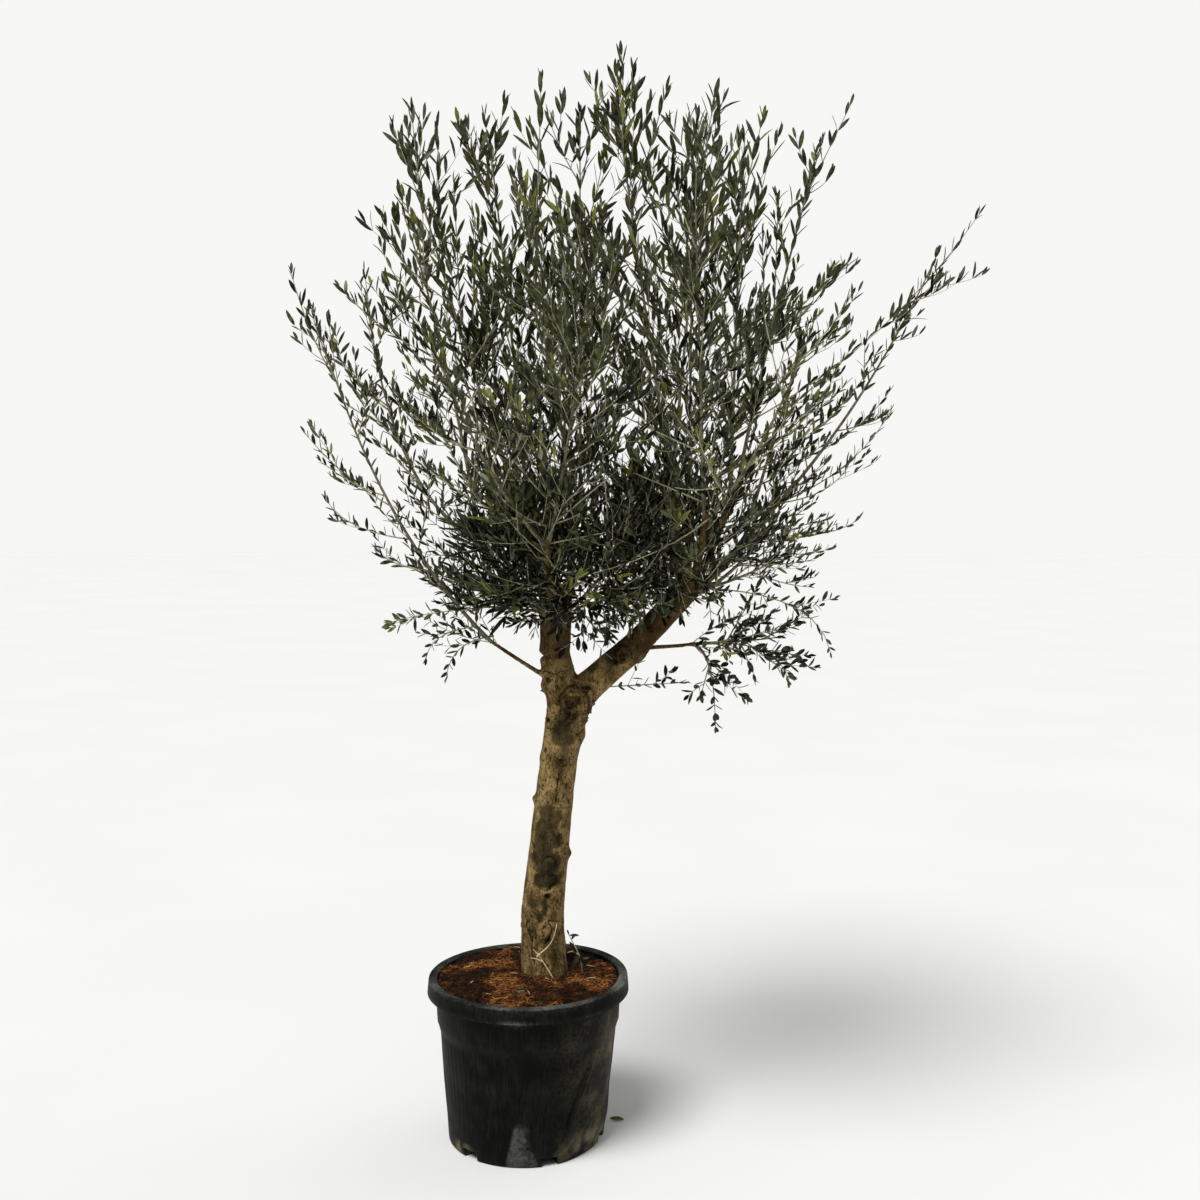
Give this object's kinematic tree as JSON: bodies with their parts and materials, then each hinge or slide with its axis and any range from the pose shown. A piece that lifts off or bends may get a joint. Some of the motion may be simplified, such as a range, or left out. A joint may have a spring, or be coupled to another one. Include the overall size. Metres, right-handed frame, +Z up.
{
  "type": "potted olive tree",
  "caption": "Young olive tree with a forked trunk and an open, upright crown of slender leaves, growing in a round black nursery container filled with coir and bark.",
  "frame": {"origin": "middle of the container's flat underside, on the ground", "axes": "+Z up along the container's axis; +X to the side that the trunk and its heavier fork lean to; +Y to the back, away from the side with the pruning scar"},
  "size_m": [1.5643, 1.1093, 2.4722],
  "materials": {
    "pot": "weathered black plastic, faintly glossy on the rim, scuffed and dusty towards the foot",
    "soil": "loose, moist coir and bark fibre, matt",
    "bark": "thin olive bark, tan to grey-brown, finely fissured with dark weathered patches and round pruning scars",
    "foliage": "leathery narrow leaves, dull olive green above and silvery grey below"
  },
  "bodies": {
    "root": {"pot": "pot", "soil": "soil", "trunk": "bark", "bough_left": "bark", "bough_right": "bark", "bough_left_outer": "bark", "bough_left_upright": "bark", "bough_left_inner": "bark", "bough_left_back": "bark", "bough_left_front": "bark", "bough_right_upright": "bark", "bough_right_outer": "bark", "bough_right_spread": "bark", "bough_right_back": "bark", "bough_right_front": "bark", "bough_low_left": "bark", "bough_under_right": "bark", "foliage_inner": "foliage", "foliage_inner_right": "foliage", "foliage_inner_left": "foliage", "foliage_low_left": "foliage", "foliage_left_side": "foliage", "foliage_left_upper": "foliage", "foliage_left_skirt": "foliage", "foliage_top_left_outer": "foliage", "foliage_top_left": "foliage", "foliage_top_middle": "foliage", "foliage_front_left_upper": "foliage", "foliage_back_left": "foliage", "foliage_back_middle": "foliage", "foliage_front_left": "foliage", "foliage_front": "foliage", "foliage_top": "foliage", "foliage_top_right_middle": "foliage", "foliage_top_right": "foliage", "foliage_right_upper": "foliage", "foliage_right": "foliage", "foliage_far_right": "foliage", "foliage_right_middle": "foliage", "foliage_right_low": "foliage", "foliage_back_right": "foliage", "foliage_back_right_upper": "foliage", "foliage_front_right": "foliage", "foliage_front_right_upper": "foliage", "foliage_lower_right": "foliage", "foliage_hanging": "foliage"}
  },
  "joints": []
}
